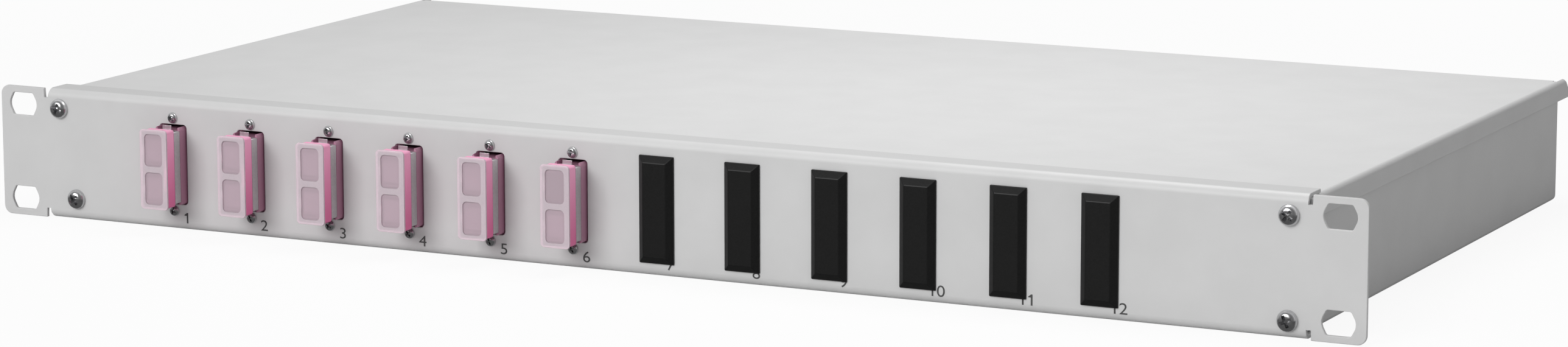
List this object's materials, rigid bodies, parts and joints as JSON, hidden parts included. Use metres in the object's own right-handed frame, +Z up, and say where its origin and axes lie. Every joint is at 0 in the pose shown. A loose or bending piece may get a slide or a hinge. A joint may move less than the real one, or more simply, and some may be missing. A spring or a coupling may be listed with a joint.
{
  "type": "fibre patch panel",
  "caption": "Rack-mount fibre patch panel: folded grey steel case with slotted ears, a row of capped duplex adapters and black blanking plugs.",
  "frame": {"origin": "centre of the four rack slots, on the back face of the ears", "axes": "+X to the right along the panel, +Y to the rear, +Z up"},
  "size_m": [0.4826, 0.2681, 0.0436],
  "materials": {
    "panel_paint": "light grey powder coat, fine texture, half matt",
    "screw_steel": "bright zinc plate",
    "nut_steel": "zinc plated steel",
    "earth_brass": "plain brass",
    "adapter_plastic": "heather violet moulded plastic",
    "clip_steel": "plain spring steel",
    "sleeve_ceramic": "white ceramic",
    "cap_plastic": "translucent frosted plastic, pale pink",
    "blank_plastic": "black moulded plastic, matt",
    "tray_plastic": "grey moulded plastic",
    "lid_plastic": "clear moulded plastic"
  },
  "bodies": {
    "case": {"adapter_body_1": "adapter_plastic", "adapter_body_2": "adapter_plastic", "adapter_body_3": "adapter_plastic", "adapter_body_4": "adapter_plastic", "adapter_body_5": "adapter_plastic", "adapter_body_6": "adapter_plastic", "adapter_clip_1": "clip_steel", "adapter_clip_2": "clip_steel", "adapter_clip_3": "clip_steel", "adapter_clip_4": "clip_steel", "adapter_clip_5": "clip_steel", "adapter_clip_6": "clip_steel", "adapter_nuts": "nut_steel", "adapter_screws": "screw_steel", "adapter_sleeves_1": "sleeve_ceramic", "adapter_sleeves_2": "sleeve_ceramic", "adapter_sleeves_3": "sleeve_ceramic", "adapter_sleeves_4": "sleeve_ceramic", "adapter_sleeves_5": "sleeve_ceramic", "adapter_sleeves_6": "sleeve_ceramic", "blank_plug_10": "blank_plastic", "blank_plug_11": "blank_plastic", "blank_plug_12": "blank_plastic", "blank_plug_7": "blank_plastic", "blank_plug_8": "blank_plastic", "blank_plug_9": "blank_plastic", "chassis_tray": "panel_paint", "cover_nuts": "nut_steel", "cover_screws": "screw_steel", "earth_bolt": "earth_brass", "earth_nut": "earth_brass", "entry_plug_1": "blank_plastic", "entry_plug_2": "blank_plastic", "entry_plug_3": "blank_plastic", "entry_plug_4": "blank_plastic", "fibre_clips": "tray_plastic", "front_panel": "panel_paint", "front_screws": "screw_steel", "press_nuts": "nut_steel", "rear_cap_1": "cap_plastic", "rear_cap_2": "cap_plastic", "rear_cap_3": "cap_plastic", "rear_cap_4": "cap_plastic", "rear_cap_5": "cap_plastic", "rear_cap_6": "cap_plastic", "splice_holders": "tray_plastic", "splice_tray": "tray_plastic", "splice_tray_lid": "lid_plastic", "tie_bracket": "screw_steel", "tie_rivets": "screw_steel", "top_cover": "panel_paint", "tray_nuts": "tray_plastic", "tray_studs": "screw_steel"},
    "dust_cap_1": {"dust_cap_1": "cap_plastic"},
    "dust_cap_2": {"dust_cap_2": "cap_plastic"},
    "dust_cap_3": {"dust_cap_3": "cap_plastic"},
    "dust_cap_4": {"dust_cap_4": "cap_plastic"},
    "dust_cap_5": {"dust_cap_5": "cap_plastic"},
    "dust_cap_6": {"dust_cap_6": "cap_plastic"}
  },
  "joints": [
    {"name": "dust_cap_1_pull", "type": "slide", "parent": "case", "child": "dust_cap_1", "axis": [0, -1, 0], "range_m": [0, 0.02]},
    {"name": "dust_cap_2_pull", "type": "slide", "parent": "case", "child": "dust_cap_2", "axis": [0, -1, 0], "range_m": [0, 0.02]},
    {"name": "dust_cap_3_pull", "type": "slide", "parent": "case", "child": "dust_cap_3", "axis": [0, -1, 0], "range_m": [0, 0.02]},
    {"name": "dust_cap_4_pull", "type": "slide", "parent": "case", "child": "dust_cap_4", "axis": [0, -1, 0], "range_m": [0, 0.02]},
    {"name": "dust_cap_5_pull", "type": "slide", "parent": "case", "child": "dust_cap_5", "axis": [0, -1, 0], "range_m": [0, 0.02]},
    {"name": "dust_cap_6_pull", "type": "slide", "parent": "case", "child": "dust_cap_6", "axis": [0, -1, 0], "range_m": [0, 0.02]}
  ]
}
